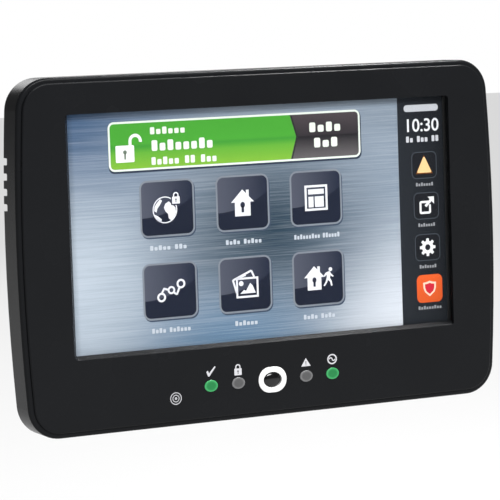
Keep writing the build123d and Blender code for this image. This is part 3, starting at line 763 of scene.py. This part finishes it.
class KEYPAD_OT_tile_icons(bpy.types.Operator):
    """Build the six white symbols on the tiles"""

    bl_idname = "keypad.tile_icons"
    bl_label = "Tile symbols"

    def execute(self, context):
        places = tile_places()
        bar = 0.75
        h = LAYER_MARK
        over = LAYER_TOP
        x, z = places[0]
        globe = [disc(x - 1.0, z - 0.6, 4.9, 4.9, h, band=0.4, sides=36)]
        gap = [slab(x + 3.5, z + 2.7, 4.1, 3.6, h + 0.006, corner=0.5),
               disc(x + 3.5, z + 4.6, 1.75, 2.0, h + 0.006)]
        globe.append(cut_shape([(-3.2, 2.6), (-4.3, 1.2), (-4.5, -0.4), (-3.6, -1.0), (-3.2, 0.4),
                                (-2.2, 1.6), (-1.2, 3.2), (-2.0, 3.8)], h, x=x - 0.8, z=z - 0.4))
        globe.append(cut_shape([(0.2, 2.2), (1.6, 3.0), (3.0, 1.8), (4.2, 0.6), (4.4, -1.0), (3.6, -2.6),
                                (2.4, -4.0), (1.4, -3.2), (1.2, -1.6), (0.2, -0.6), (-0.4, 0.8)], h,
                               x=x - 1.0, z=z - 0.6))
        globe.append(cut_shape([(-4.4, -1.4), (-2.8, -2.2), (-1.4, -3.4), (-1.6, -4.6), (-3.2, -3.8)], h,
                               x=x - 1.0, z=z - 0.6))
        small_lock, small_hole = padlock(x + 3.5, z + 2.7, 3.1, h + 0.012, False, over)
        icons = {"symbol_globe": globe + small_lock}
        holes = small_hole
        x, z = places[1]
        walls, hole = house(x - 0.1, z - 0.2, 4.7, h, over)
        icons["symbol_house"] = walls
        holes += hole
        x, z = places[2]
        icons["symbol_layout"] = [
            slab(x, z, 9.6, 9.6, h, band=0.85),
            slab(x, z + 2.3, 6.6, 1.9, h),
            slab(x - 2.2, z - 1.5, 2.1, 4.0, h),
            slab(x + 1.3, z - 1.5, 3.8, 4.0, h),
        ]
        x, z = places[3]
        icons["symbol_zones"] = [
            disc(x - 3.6, z - 2.2, 1.75, 1.75, h, band=bar),
            disc(x + 0.4, z + 0.2, 1.5, 1.5, h, band=0.7),
            disc(x + 4.3, z + 2.3, 1.75, 1.75, h, band=bar),
        ]
        runs = ((-3.4, -0.6, -2.4, 1.1), (-2.6, 1.0, -0.9, 0.4), (1.4, -0.8, 2.6, -1.5),
                (2.5, -1.6, 3.6, 0.8))
        icons["symbol_zones"] += strokes(x, z, runs, bar, h)
        x, z = places[4]
        icons["symbol_photos"] = [
            slab(x + 0.7, z - 1.2, 9.2, 7.6, h, band=bar),
            disc(x - 1.8, z + 0.4, 0.95, 0.95, h, sides=18),
            cut_shape([(-2.8, -2.6), (-1.2, -1.2), (-0.4, -1.6), (1.4, 1.2), (2.4, 0.2), (3.6, -2.6)], h,
                      x=x + 0.5, z=z - 0.8),
        ]
        runs = ((-5.0, 1.9, 2.6, 5.0), (-5.2, 2.0, -3.7, -3.0), (2.5, 5.0, 3.6, 2.6))
        icons["symbol_photos"] += strokes(x, z, runs, bar, h)
        icons["symbol_photos"] += strokes(x, z, ((-2.9, 2.4, 0.2, 3.4),), 0.5, h)
        x, z = places[5]
        walls, hole = house(x - 1.8, z - 0.1, 4.3, h, over)
        holes += hole
        walker = [
            disc(x + 5.1, z + 3.0, 0.75, 0.75, h, sides=16),
            cut_shape([(-0.8, 1.9), (0.3, 2.1), (0.8, 1.2), (1.9, 0.2), (1.6, -0.2), (0.5, 0.5), (0.3, -0.4),
                       (1.0, -1.6), (1.3, -3.4), (0.7, -3.5), (0.3, -1.9), (-0.6, -1.2), (-1.0, -2.2),
                       (-2.0, -3.5), (-2.5, -3.2), (-1.6, -1.8), (-1.0, 0.0), (-1.1, 0.9), (-1.9, 0.1),
                       (-2.3, 0.5), (-1.6, 1.5)], h, x=x + 4.5, z=z + 0.2),
        ]
        icons["symbol_away"] = walls + walker
        white = lit_art("symbol_white", srgb(236, 238, 244))
        for name, parts in icons.items():
            lay(name, parts, white)
        navy = lit_art("keyhole_navy", srgb(44, 48, 66))
        lay("symbol_keyholes", holes, navy)
        lay("symbol_lock_gap", gap, navy)
        return {"FINISHED"}


class KEYPAD_OT_tile_labels(bpy.types.Operator):
    """Lay the plain word rows under the tiles"""

    bl_idname = "keypad.tile_labels"
    bl_label = "Tile word rows"

    def execute(self, context):
        rows = []
        layout = ((15.0, (5, 3)), (15.0, (4, 5)), (19.4, (9, 6)),
                  (15.8, (4, 6)), (9.6, (6,)), (13.6, (4, 4)))
        for (x, z), (width, words) in zip(tile_places(), layout):
            rows += word_row(x - width / 2, x + width / 2, z - 14.3, 1.8, words, LAYER_PANEL)
        lay("tile_word_rows", rows, srgb(196, 204, 214))
        return {"FINISHED"}


class KEYPAD_OT_side_icons(bpy.types.Operator):
    """Build the four side bar tiles with their symbols and word rows"""

    bl_idname = "keypad.side_icons"
    bl_label = "Side bar tiles"

    def execute(self, context):
        wide, tall = sizes("side_tile_width", "side_tile_height")
        columns = (69.3, 69.8, 69.9, 70.3)
        levels = [SCREEN_Z + v for v in (17.8, 2.2, -13.8, -29.7)]
        h = LAYER_MARK
        dark = []
        rims = []
        for x, z in list(zip(columns, levels))[:3]:
            rims.append(slab(x, z, wide, tall, LAYER_FILL, corner=2.1))
            dark.append(slab(x, z, wide - 0.6, tall - 0.6, LAYER_GLOSS, corner=1.8))
        lay("side_tile_rims", rims, srgb(70, 76, 84))
        lay("side_tiles", dark, srgb(22, 24, 29))
        x = columns[3]
        alarm = slab(x, levels[3], wide + 0.2, tall + 0.4, LAYER_GLOSS, corner=2.1)

        def hot(vector):
            px, pz = split_place(vector)
            level = remap(pz, (levels[3] + tall / 2) * MM, (levels[3] - tall / 2) * MM, 0, 1)
            bright = tuple(colours().orange)
            return blend(level, bright, shade_of(bright, 0.85))

        lay("side_alarm_tile", [alarm], hot)
        shield = [(0, 2.95), (1.35, 2.5), (2.85, 2.35), (2.75, 0.2), (2.1, -1.4), (0, -3.05), (-2.1, -1.4),
                  (-2.75, 0.2), (-2.85, 2.35), (-1.35, 2.5)]
        rim = cut_shape(shield, h, x=x, z=levels[3])
        lay("side_shield_rim", [rim], srgb(255, 214, 190))
        core = cut_shape(shield, LAYER_TOP, x=x, z=levels[3], size=0.72)
        lay("side_shield", [core], tuple(colours().shield_red))
        x = columns[0]
        halo = cut_shape([(0, 3.9), (3.7, -3.3), (-3.7, -3.3)], LAYER_GLOSS + 0.004, x=x, z=levels[0])
        lay("side_triangle_halo", [halo], srgb(112, 66, 18))
        triangle = cut_shape([(0, 3.2), (0.4, 2.9), (3.1, -2.5), (2.9, -2.9), (-2.9, -2.9), (-3.1, -2.5),
                              (-0.4, 2.9)], h, x=x, z=levels[0])
        lay("side_triangle", [triangle], tuple(colours().amber))
        x, z = columns[1], levels[1]
        outward = [
            slab(x - 0.5, z - 0.6, 5.0, 5.0, h, corner=0.8, band=0.85),
            stroke((x - 0.4, z - 0.2), (x + 2.2, z + 2.3), 1.1, LAYER_TOP + 0.002),
            cut_shape([(3.4, 3.4), (0.6, 3.4), (3.4, 0.6)], LAYER_TOP + 0.004, x=x, z=z),
        ]
        cover = slab(x + 1.9, z + 1.6, 1.9, 2.4, h + 0.002)
        lay("side_arrow_gap", [cover], srgb(26, 28, 34))
        white = lit_art("side_white", srgb(240, 240, 242))
        lay("side_arrow", outward, white)
        x, z = columns[2], levels[2]
        points = []
        teeth = 8
        for i in range(teeth):
            for part, radius in ((-0.32, 2.5), (-0.2, 3.45), (0.2, 3.45), (0.32, 2.5)):
                a = 2 * math.pi * (i + part) / teeth
                points.append((radius * math.sin(a), radius * math.cos(a)))
        lay("side_gear", [cut_shape(points[::-1], h, x=x, z=z)], white)
        bore = disc(x, z, 1.15, 1.15, LAYER_TOP, sides=20)
        lay("side_gear_bore", [bore], srgb(26, 28, 34))
        rows = []
        for x, z, width, letters in zip(columns, levels, (7.8, 7.6, 7.6, 10.4), (7, 7, 7, 9)):
            rows += word_row(x - width / 2, x + width / 2, z - 7.3, 1.35, (letters,), LAYER_MARK)
        lay("side_word_rows", rows, srgb(150, 152, 156))
        return {"FINISHED"}


class KEYPAD_OT_clock(bpy.types.Operator):
    """Set the clock's figures, the date row and a plain bar above them"""

    bl_idname = "keypad.clock"
    bl_label = "Clock"

    def execute(self, context):
        clear_selection()
        bpy.ops.object.text_add(rotation=UPRIGHT)
        text = bpy.context.object
        text.data.body = "10:30"
        text.data.align_x = "CENTER"
        text.data.align_y = "CENTER"
        text.data.size = 6.9 * MM
        text.data.extrude = SHEET / 2 * MM
        text.data.offset = 0.08 * MM
        text.data.resolution_u = 4
        bpy.ops.object.convert(target="MESH")
        text = bpy.context.object
        text.location = (68.6 * MM, -LAYER_MARK * MM, (SCREEN_Z + 32.9) * MM)
        apply_place()
        lay("clock_figures", [text], srgb(236, 238, 242))
        rows = word_row(61.6, 76.2, SCREEN_Z + 27.9, 2.3, (2, 3, 2), LAYER_MARK)
        lay("date_row", rows, srgb(204, 206, 212))
        bar = slab(68.5, SCREEN_Z + 39.7, 15.0, 2.6, LAYER_MARK, corner=1.2)
        lay("plain_bar", [bar], srgb(196, 200, 206))
        return {"FINISHED"}


def print_ink(name, base):
    return moulded_plastic(name, base, 0.5, 3000, 0.004, 0.04)


class KEYPAD_OT_face_prints(bpy.types.Operator):
    """Print the symbols over the status lights and the ring mark at the left"""

    bl_idname = "keypad.face_prints"
    bl_label = "Face prints"

    def execute(self, context):
        h = FACE_H - 0.005
        ink = 0.03
        z = BUTTON_Z + 5.4
        x = LENS_X[0]
        tick = [(-1.9, -0.1), (-1.2, 0.35), (-0.85, -0.75), (1.5, 1.75), (1.95, 1.5), (-0.75, -1.9),
                (-1.25, -1.75)]
        marks = [cut_shape(tick, h, ink, x=x + 0.1, z=z)]
        lock, hole = padlock(LENS_X[1], z - 1.2, 3.0, h, False, h + 0.01)
        marks += lock
        x = LENS_X[2]
        marks.append(cut_shape([(0, 1.6), (2.0, -1.5), (-2.0, -1.5)], h, ink, x=x, z=z - 0.2))
        x = LENS_X[3]
        marks.append(disc(x, z, 2.05, 1.95, h, ink, band=0.5, sides=36))
        marks += [arch(x - 0.62, z - 0.1, 0.85, 0.42, 10, 170, h, ink),
                  arch(x + 0.62, z + 0.1, 0.85, 0.42, 190, 350, h, ink)]
        white = print_ink("print_white", tuple(colours().print_white))
        finish_piece(join("light_symbols", marks), white)
        gaps = hole + [slab(LENS_X[2], z - 0.3, 0.3, 1.1, h + 0.01),
                       slab(LENS_X[2], z - 1.2, 0.3, 0.3, h + 0.01)]
        finish_piece(join("light_symbol_gaps", gaps), bpy.data.materials["face_plastic"])
        x = -39.6
        z = BUTTON_Z - 3.3
        rings = [disc(x, z, 2.3, 2.3, h, ink, band=0.34, sides=36),
                 disc(x, z, 1.4, 1.4, h, ink, band=0.32, sides=30),
                 disc(x, z, 0.5, 0.5, h, ink, sides=14)]
        finish_piece(join("ring_mark", rings), print_ink("print_grey", srgb(178, 178, 182)))
        return {"FINISHED"}


class KEYPAD_OT_button(bpy.types.Operator):
    """Shape the home button's glossy dome"""

    bl_idname = "keypad.button"
    bl_label = "Home button"

    def execute(self, context):
        clear_selection()
        lip = 1.1
        lip_depth = 0.75
        collar_x = (BUTTON_HIGH[0] - BUTTON_LOW[0]) / 2 - lip
        collar_z = (BUTTON_HIGH[2] - BUTTON_LOW[2]) / 2 - lip
        top = -BUTTON_LOW[1]
        skirt = FACE_H - 0.6
        bpy.ops.mesh.primitive_uv_sphere_add(
            segments=48, ring_count=24, radius=1, location=spot(0, BUTTON_Z, skirt), rotation=UPRIGHT
        )
        dome = bpy.context.object
        dome.scale = (collar_x * MM, collar_z * MM, (top - skirt) * MM)
        apply_place()
        edit_all()
        bpy.ops.mesh.bisect(plane_co=(0, -skirt * MM, 0), plane_no=(0, -1, 0), clear_inner=True)
        bpy.ops.mesh.select_all(action="DESELECT")
        bpy.ops.object.mode_set(mode="OBJECT")
        for edge in dome.data.edges:
            ends = [dome.data.vertices[v].co for v in edge.vertices]
            edge.select = all(abs(co.y + skirt * MM) < 1e-7 for co in ends)
        bpy.ops.object.mode_set(mode="EDIT")
        bpy.ops.mesh.select_mode(type="EDGE")
        back = -BUTTON_HIGH[1]
        depth = skirt - back - lip_depth
        bpy.ops.mesh.extrude_region_move(TRANSFORM_OT_translate={"value": (0, depth * MM, 0)})
        bpy.ops.mesh.extrude_region_move()
        grow_x = (collar_x + lip) / collar_x
        grow_z = (collar_z + lip) / collar_z
        bpy.ops.transform.resize(value=(grow_x, 1, grow_z), center_override=(0, 0, BUTTON_Z * MM))
        bpy.ops.mesh.extrude_region_move(TRANSFORM_OT_translate={"value": (0, lip_depth * MM, 0)})
        bpy.ops.mesh.edge_face_add()
        bpy.ops.mesh.select_all(action="SELECT")
        bpy.ops.mesh.remove_doubles(threshold=1e-7)
        bpy.ops.mesh.normals_make_consistent(inside=False)
        bpy.ops.object.mode_set(mode="OBJECT")
        bpy.ops.object.shade_smooth_by_angle(angle=math.radians(40))
        take("home_button_dome", dome)
        finish_piece(dome, shiny("key_black", (0.003, 0.003, 0.0035), 0.12, 0.0), "home_key")
        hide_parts("home_button")
        return {"FINISHED"}


class KEYPAD_OT_spring(bpy.types.Operator):
    """Wind the tamper spring in place of its plain part; the coil keeps one length, though the real spring
    shortens as its plunger goes in
    """

    bl_idname = "keypad.spring"
    bl_label = "Tamper spring"

    def execute(self, context):
        low, high = node_box("tamper_spring")
        thread = 0.18
        turns = 4
        rise = high[1] - low[1] - 2 * thread
        clear_selection()
        bpy.ops.mesh.primitive_circle_add(
            vertices=10, radius=thread * MM, rotation=UPRIGHT,
            location=(((high[0] - low[0]) / 2 - thread) * MM, 0, 0),
        )
        spring = bpy.context.object
        apply_place()
        bpy.ops.object.modifier_add(type="SCREW")
        coil = spring.modifiers[-1]
        coil.angle = math.tau
        coil.screw_offset = rise / turns * MM
        coil.iterations = turns
        coil.steps = coil.render_steps = 28
        bpy.ops.object.modifier_apply(modifier=coil.name)
        edit_all()
        bpy.ops.mesh.fill_holes(sides=0)
        bpy.ops.mesh.select_all(action="SELECT")
        bpy.ops.mesh.normals_make_consistent(inside=False)
        bpy.ops.object.mode_set(mode="OBJECT")
        spring.rotation_euler = UPRIGHT
        x = (low[0] + high[0]) / 2
        z = (low[2] + high[2]) / 2
        spring.location = spot(x, z, thread - high[1])
        apply_place()
        bpy.ops.object.shade_smooth_by_angle(angle=math.radians(40))
        take("tamper_spring_coil", spring)
        finish_piece(spring, bpy.data.materials["spring_steel"])
        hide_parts("tamper_spring")
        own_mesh(spring)
        return {"FINISHED"}


def lamp(name, base, glow, x, z):
    """A translucent lens: a paler rim, a darker pool and a soft glow."""
    material, shader, vector = new_material(name)
    across = 1 / (LENS_REACH * MM)
    down = across * 1.22
    pool = round_pool(vector, (across, 0, down), (-x * MM * across, 0, -z * MM * down))
    rim = tuple(min(1, c * 1.5 + 0.03) for c in base)
    tint = blend(remap(pool, 0.12, 0.45, 0, 1), rim, shade_of(base, 0.78))
    wire(tint, shader.inputs["Base Color"])
    dial(shader, Roughness=0.38)
    if glow:
        wire(tint, shader.inputs["Emission Color"])
        dial(shader, Emission_Strength=glow)
    bump(shader, noise(vector, 1800, 2), 0.006)
    return material


class KEYPAD_OT_finishes(bpy.types.Operator):
    """Give every part of the case and its insides its finish"""

    bl_idname = "keypad.finishes"
    bl_label = "Case finishes"

    def execute(self, context):
        c = colours()
        green = tuple(c.lamp_green)
        grey = tuple(c.lamp_grey)
        plastics = {
            "face_plastic": (tuple(c.face), 0.26, 2400, 0.003, 0.06, 0.08),
            "cover_plastic": (srgb(32, 33, 35), 0.6, 1500, 0.02, 0.08, 0.2),
            "plate_plastic": (srgb(58, 59, 61), 0.6, 1300, 0.03, 0.08, 0.35),
            "foam": ((0.012, 0.012, 0.012), 0.95, 1800, 0.06, 0.2),
            "chip_black": ((0.018, 0.018, 0.02), 0.55, 2600, 0.01, 0.15),
            "coil_grey": ((0.07, 0.07, 0.075), 0.6, 2000, 0.02, 0.15),
            "socket_cream": ((0.6, 0.52, 0.38), 0.5, 1800, 0.01, 0.06),
            "terminal_green": ((0.012, 0.2, 0.07), 0.45, 1600, 0.012, 0.08),
            "holder_black": ((0.02, 0.02, 0.02), 0.5, 1800, 0.012, 0.1),
            "plunger_white": ((0.66, 0.66, 0.63), 0.42, 1500, 0.008, 0.05),
            "silicone": ((0.14, 0.14, 0.14), 0.7, 1500, 0.01, 0.1),
            "speaker_black": ((0.02, 0.02, 0.02), 0.55, 1800, 0.012, 0.1),
            "cone_black": ((0.03, 0.03, 0.03), 0.85, 2200, 0.04, 0.2),
        }
        metals = {
            "sheet_steel": ((0.56, 0.57, 0.58), 0.34, (1, 1, 14)),
            "screw_steel": ((0.42, 0.42, 0.43), 0.32),
            "can_metal": ((0.66, 0.66, 0.63), 0.26),
            "cell_steel": ((0.72, 0.72, 0.73), 0.2),
            "spring_steel": ((0.5, 0.5, 0.51), 0.28),
        }
        glossy = {
            "display_glass": ((0.006, 0.008, 0.012), 0.15, 0.3),
            "light_guide": ((0.72, 0.74, 0.72), 0.3, 0.0),
            "capacitor_body": ((0.5, 0.24, 0.03), 0.35, 0.1, 0.15),
            "ring_white": ((0.86, 0.86, 0.86), 0.2, 0.4, 0.03),
            "led_body": ((0.75, 0.75, 0.68), 0.4, 0.0, 0.1),
            "ribbon_tan": ((0.48, 0.22, 0.04), 0.3, 0.1, 0.2),
        }
        by_slot = {"touch_glass": clear_touch_glass("touch_glass")}
        by_slot["board_green"] = circuit_board("board_green")
        for make, recipes in ((moulded_plastic, plastics), (plain_metal, metals), (shiny, glossy)):
            for slot, recipe in recipes.items():
                by_slot[slot] = make(slot, *recipe)
        lamps = (("ready", green, LAMP_GLOW), ("armed", grey, 0), ("trouble", grey, 0),
                 ("power", green, LAMP_GLOW))
        by_node = {}
        for (word, tone, glow), x in zip(lamps, LENS_X):
            by_node[word + "_lens"] = lamp("lamp_" + word, tone, glow, x, BUTTON_Z)
        slots = {s["node"]: s["material_slot"] for s in frame["record"]["subparts"]}
        for node, slot in slots.items():
            shown = bpy.data.objects.get(node)
            if shown is None or node == "home_button":
                continue
            material = by_node.get(node) or by_slot[slot]
            if not shown.data.materials:
                shown.data.materials.append(material)
            for i in range(len(shown.data.materials)):
                shown.data.materials[i] = material
        return {"FINISHED"}


def area_light(name, place, size_x, size_y, power):
    """A soft box that looks at the keypad."""
    clear_selection()
    bpy.ops.object.light_add(type="AREA", location=place)
    light = bpy.context.object
    light.name = name
    light.data.shape = "RECTANGLE"
    light.data.size = size_x
    light.data.size_y = size_y
    light.data.energy = power
    light.rotation_euler = Vector(place).to_track_quat("Z", "Y").to_euler()


class KEYPAD_OT_stage(bpy.types.Operator):
    """Set the pale floor, the soft light and the camera"""

    bl_idname = "keypad.stage"
    bl_label = "Studio"

    azimuth = -25.92
    elevation = 5.306
    roll = -1.935
    distance = 0.93085
    shift_right = -0.00644
    shift_up = -0.00963
    lens = 181.18

    def execute(self, context):
        clear_selection()
        floor_z = CAD_BOX[0][2] - 0.12
        bpy.ops.mesh.primitive_plane_add(size=12, location=(0, 0, floor_z))
        floor = take("studio_floor")
        edit_all()
        bpy.ops.mesh.subdivide(number_cuts=6)
        bpy.ops.object.mode_set(mode="OBJECT")
        apply_place()
        paper = moulded_plastic("studio_white", (0.2, 0.2, 0.2), 0.9, 40, 0.0, 0.01, 0.1)
        glow = paper.node_tree.nodes["Principled BSDF"]
        dial(glow, Emission_Color=WHITE, Emission_Strength=0.66)
        floor.data.materials.append(paper)
        self.air()
        area_light("key_light", (0.25, -1.7, 1.2), 0.9, 0.6, 42)
        area_light("top_light", (0.5, -0.1, 0.95), 0.5, 0.06, 20)
        area_light("back_light", (0.4, 1.5, 0.9), 1.2, 0.9, 10)
        self.camera()
        settings = bpy.context.scene.view_settings
        settings.view_transform = "Standard"
        settings.look = "None"
        return {"FINISHED"}

    def air(self):
        """Soft even light from all round, and plain white where the camera sees past the floor."""
        world = bpy.data.worlds.new("studio_air")
        bpy.context.scene.world = world
        world.use_nodes = True
        air = world.node_tree.nodes["Background"]
        dial(air, Color=WHITE, Strength=0.15)
        seen = new_node(air, "ShaderNodeBackground")
        dial(seen, Color=WHITE, Strength=1.0)
        mix = new_node(air, "ShaderNodeMixShader")
        wire(new_node(air, "ShaderNodeLightPath").outputs["Is Camera Ray"], mix.inputs["Fac"])
        wire(air.outputs["Background"], mix.inputs[1])
        wire(seen.outputs["Background"], mix.inputs[2])
        wire(mix.outputs["Shader"], world.node_tree.nodes["World Output"].inputs["Surface"])

    def camera(self):
        clear_selection()
        turn = math.radians(self.azimuth)
        tilt = math.radians(self.elevation)
        lean = math.radians(self.roll)
        back = Vector((math.sin(turn) * math.cos(tilt), -math.cos(turn) * math.cos(tilt), math.sin(tilt)))
        right = (-back).cross(Vector((0, 0, 1))).normalized()
        up = right.cross(-back).normalized()
        leant_right = right * math.cos(lean) + up * math.sin(lean)
        leant_up = up * math.cos(lean) - right * math.sin(lean)
        aim = Vector((0, -FACE_H * MM, SCREEN_Z * MM))
        place = aim + back * self.distance + leant_right * self.shift_right + leant_up * self.shift_up
        bpy.ops.object.camera_add()
        camera = bpy.context.object
        camera.name = "studio_camera"
        camera.data.lens = self.lens
        camera.data.sensor_width = 36
        camera.data.clip_start = 0.05
        camera.matrix_world = Matrix((
            (leant_right.x, leant_up.x, back.x, place.x),
            (leant_right.y, leant_up.y, back.y, place.y),
            (leant_right.z, leant_up.z, back.z, place.z),
            (0, 0, 0, 1),
        ))
        bpy.context.scene.camera = camera


class KEYPAD_PT_panel(bpy.types.Panel):
    """Lists the keypad's steps"""

    bl_idname = "KEYPAD_PT_panel"
    bl_label = "Alarm Keypad"
    bl_space_type = "VIEW_3D"
    bl_region_type = "UI"
    bl_category = "Alarm Keypad"

    def draw(self, context):
        for step in STEPS:
            self.layout.operator(step.bl_idname)
        for group in (context.scene.keypad_sizes, context.scene.keypad_colours):
            box = self.layout.box()
            for key in group.bl_rna.properties.keys():
                if key not in ("rna_type", "name"):
                    box.prop(group, key)


STEPS = (
    KEYPAD_OT_finishes,
    KEYPAD_OT_backdrop,
    KEYPAD_OT_banner,
    KEYPAD_OT_banner_padlock,
    KEYPAD_OT_banner_words,
    KEYPAD_OT_tiles,
    KEYPAD_OT_tile_icons,
    KEYPAD_OT_tile_labels,
    KEYPAD_OT_side_icons,
    KEYPAD_OT_clock,
    KEYPAD_OT_face_prints,
    KEYPAD_OT_button,
    KEYPAD_OT_spring,
    KEYPAD_OT_stage,
)
CLASSES = (KeypadSizes, KeypadColours) + STEPS + (KEYPAD_PT_panel,)


def register():
    for cls in CLASSES:
        bpy.utils.register_class(cls)
    bpy.types.Scene.keypad_sizes = PointerProperty(type=KeypadSizes)
    bpy.types.Scene.keypad_colours = PointerProperty(type=KeypadColours)


def unregister():
    del bpy.types.Scene.keypad_colours
    del bpy.types.Scene.keypad_sizes
    for cls in reversed(CLASSES):
        bpy.utils.unregister_class(cls)


def main():
    register()
    for step in STEPS:
        group, name = step.bl_idname.split(".")
        getattr(getattr(bpy.ops, group), name)()


if __name__ == "__main__":
    main()
